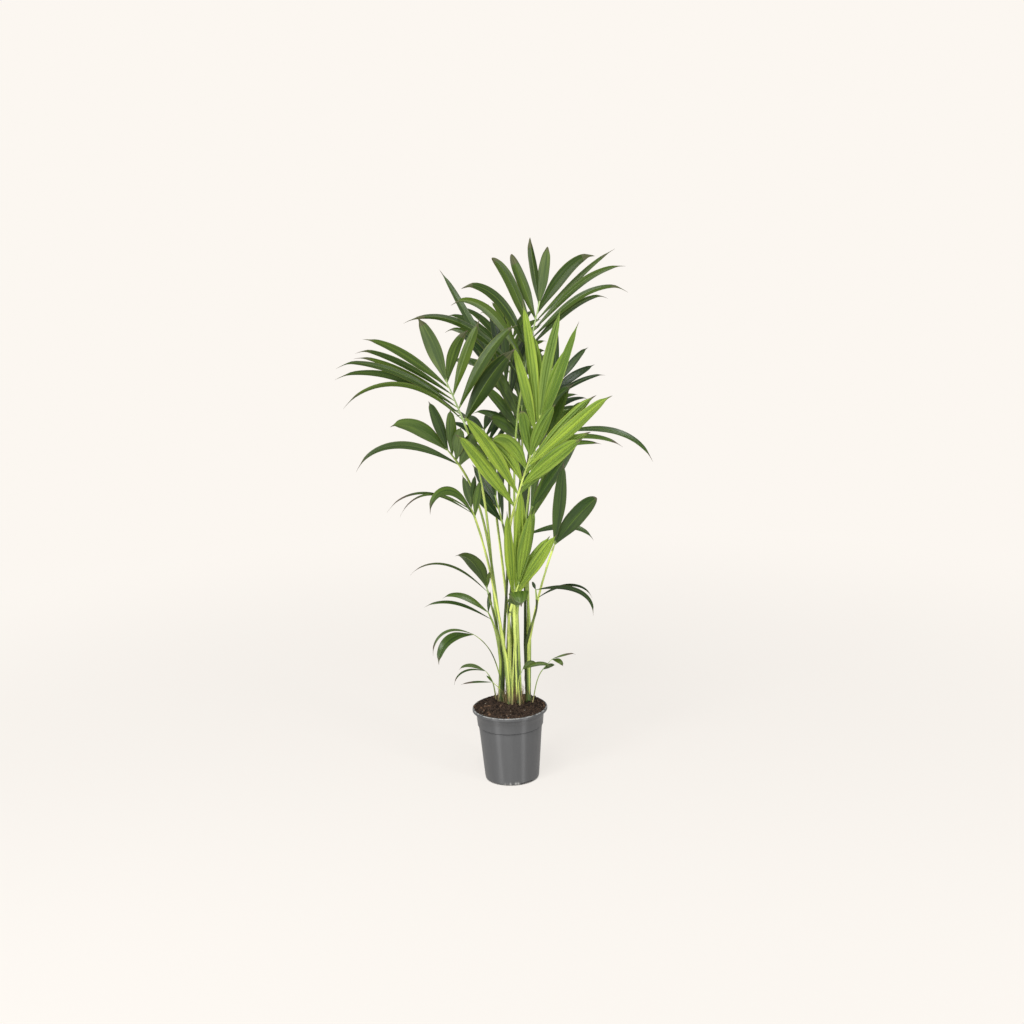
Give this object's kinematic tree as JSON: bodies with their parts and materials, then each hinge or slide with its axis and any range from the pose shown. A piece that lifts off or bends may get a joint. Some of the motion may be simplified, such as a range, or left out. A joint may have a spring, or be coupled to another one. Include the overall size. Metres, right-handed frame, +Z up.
{
  "type": "kentia palm in a nursery pot",
  "caption": "Young clustered feather palm with arching leaf stalks, stiff green leaflets and a plain round nursery pot filled with soil.",
  "frame": {"origin": "centre of the pot's flat underside, on the surface the plant stands on", "axes": "+Z up along the height, -Y towards the viewer's front, +X to the right seen from the front"},
  "size_m": [0.8141, 0.8113, 1.4873],
  "materials": {
    "pot": "moulded grey plastic, satin, slightly worn rim",
    "soil": "dark brown crumbly peat",
    "stem": "smooth green leaf sheaths with brown fibres at the foot",
    "stalk": "smooth yellow-green leaf stalks",
    "frond_old": "satin mid-green leaflets with fine veins",
    "frond_deep": "satin dark green leaflets with fine veins",
    "frond_fresh": "satin bright yellow-green young leaflets"
  },
  "bodies": {
    "root": {"pot": "pot", "soil": "soil", "stem_a": "stem", "stem_b": "stem", "stem_c": "stem", "stem_d": "stem", "stem_e": "stem", "stalk_crown": "stalk", "stalk_upper_left": "stalk", "stalk_big_left": "stalk", "stalk_left_mid": "stalk", "stalk_front": "stalk", "stalk_spear": "stalk", "stalk_right_back": "stalk", "stalk_right_arch": "stalk", "stalk_right_pair": "stalk", "stalk_inner": "stalk", "stalk_folded": "stalk", "stalk_right_low": "stalk", "stalk_left_pair": "stalk", "stalk_left_twin": "stalk", "stalk_left_low": "stalk", "stalk_low_left_a": "stalk", "stalk_low_left_b": "stalk", "stalk_low_right_a": "stalk", "stalk_low_right_b": "stalk", "stalk_centre_left": "stalk", "stalk_spider": "stalk", "stalk_under_right": "stalk", "stalk_centre": "stalk", "stalk_back_high": "stalk", "stalk_back_left": "stalk", "stalk_back_right": "stalk", "frond_crown": "frond_old", "frond_upper_left": "frond_deep", "frond_big_left": "frond_old", "frond_left_mid": "frond_deep", "frond_front": "frond_fresh", "frond_spear": "frond_fresh", "frond_right_back": "frond_deep", "frond_right_arch": "frond_deep", "frond_right_pair": "frond_deep", "frond_inner": "frond_fresh", "frond_folded": "frond_deep", "frond_right_low": "frond_deep", "frond_left_pair": "frond_old", "frond_left_twin": "frond_deep", "frond_left_low": "frond_deep", "frond_low_left_a": "frond_deep", "frond_low_left_b": "frond_deep", "frond_low_right_a": "frond_old", "frond_low_right_b": "frond_old", "frond_centre_left": "frond_deep", "frond_spider": "frond_deep", "frond_under_right": "frond_deep", "frond_centre": "frond_deep", "frond_back_high": "frond_old", "frond_back_left": "frond_deep", "frond_back_right": "frond_deep"}
  },
  "joints": []
}
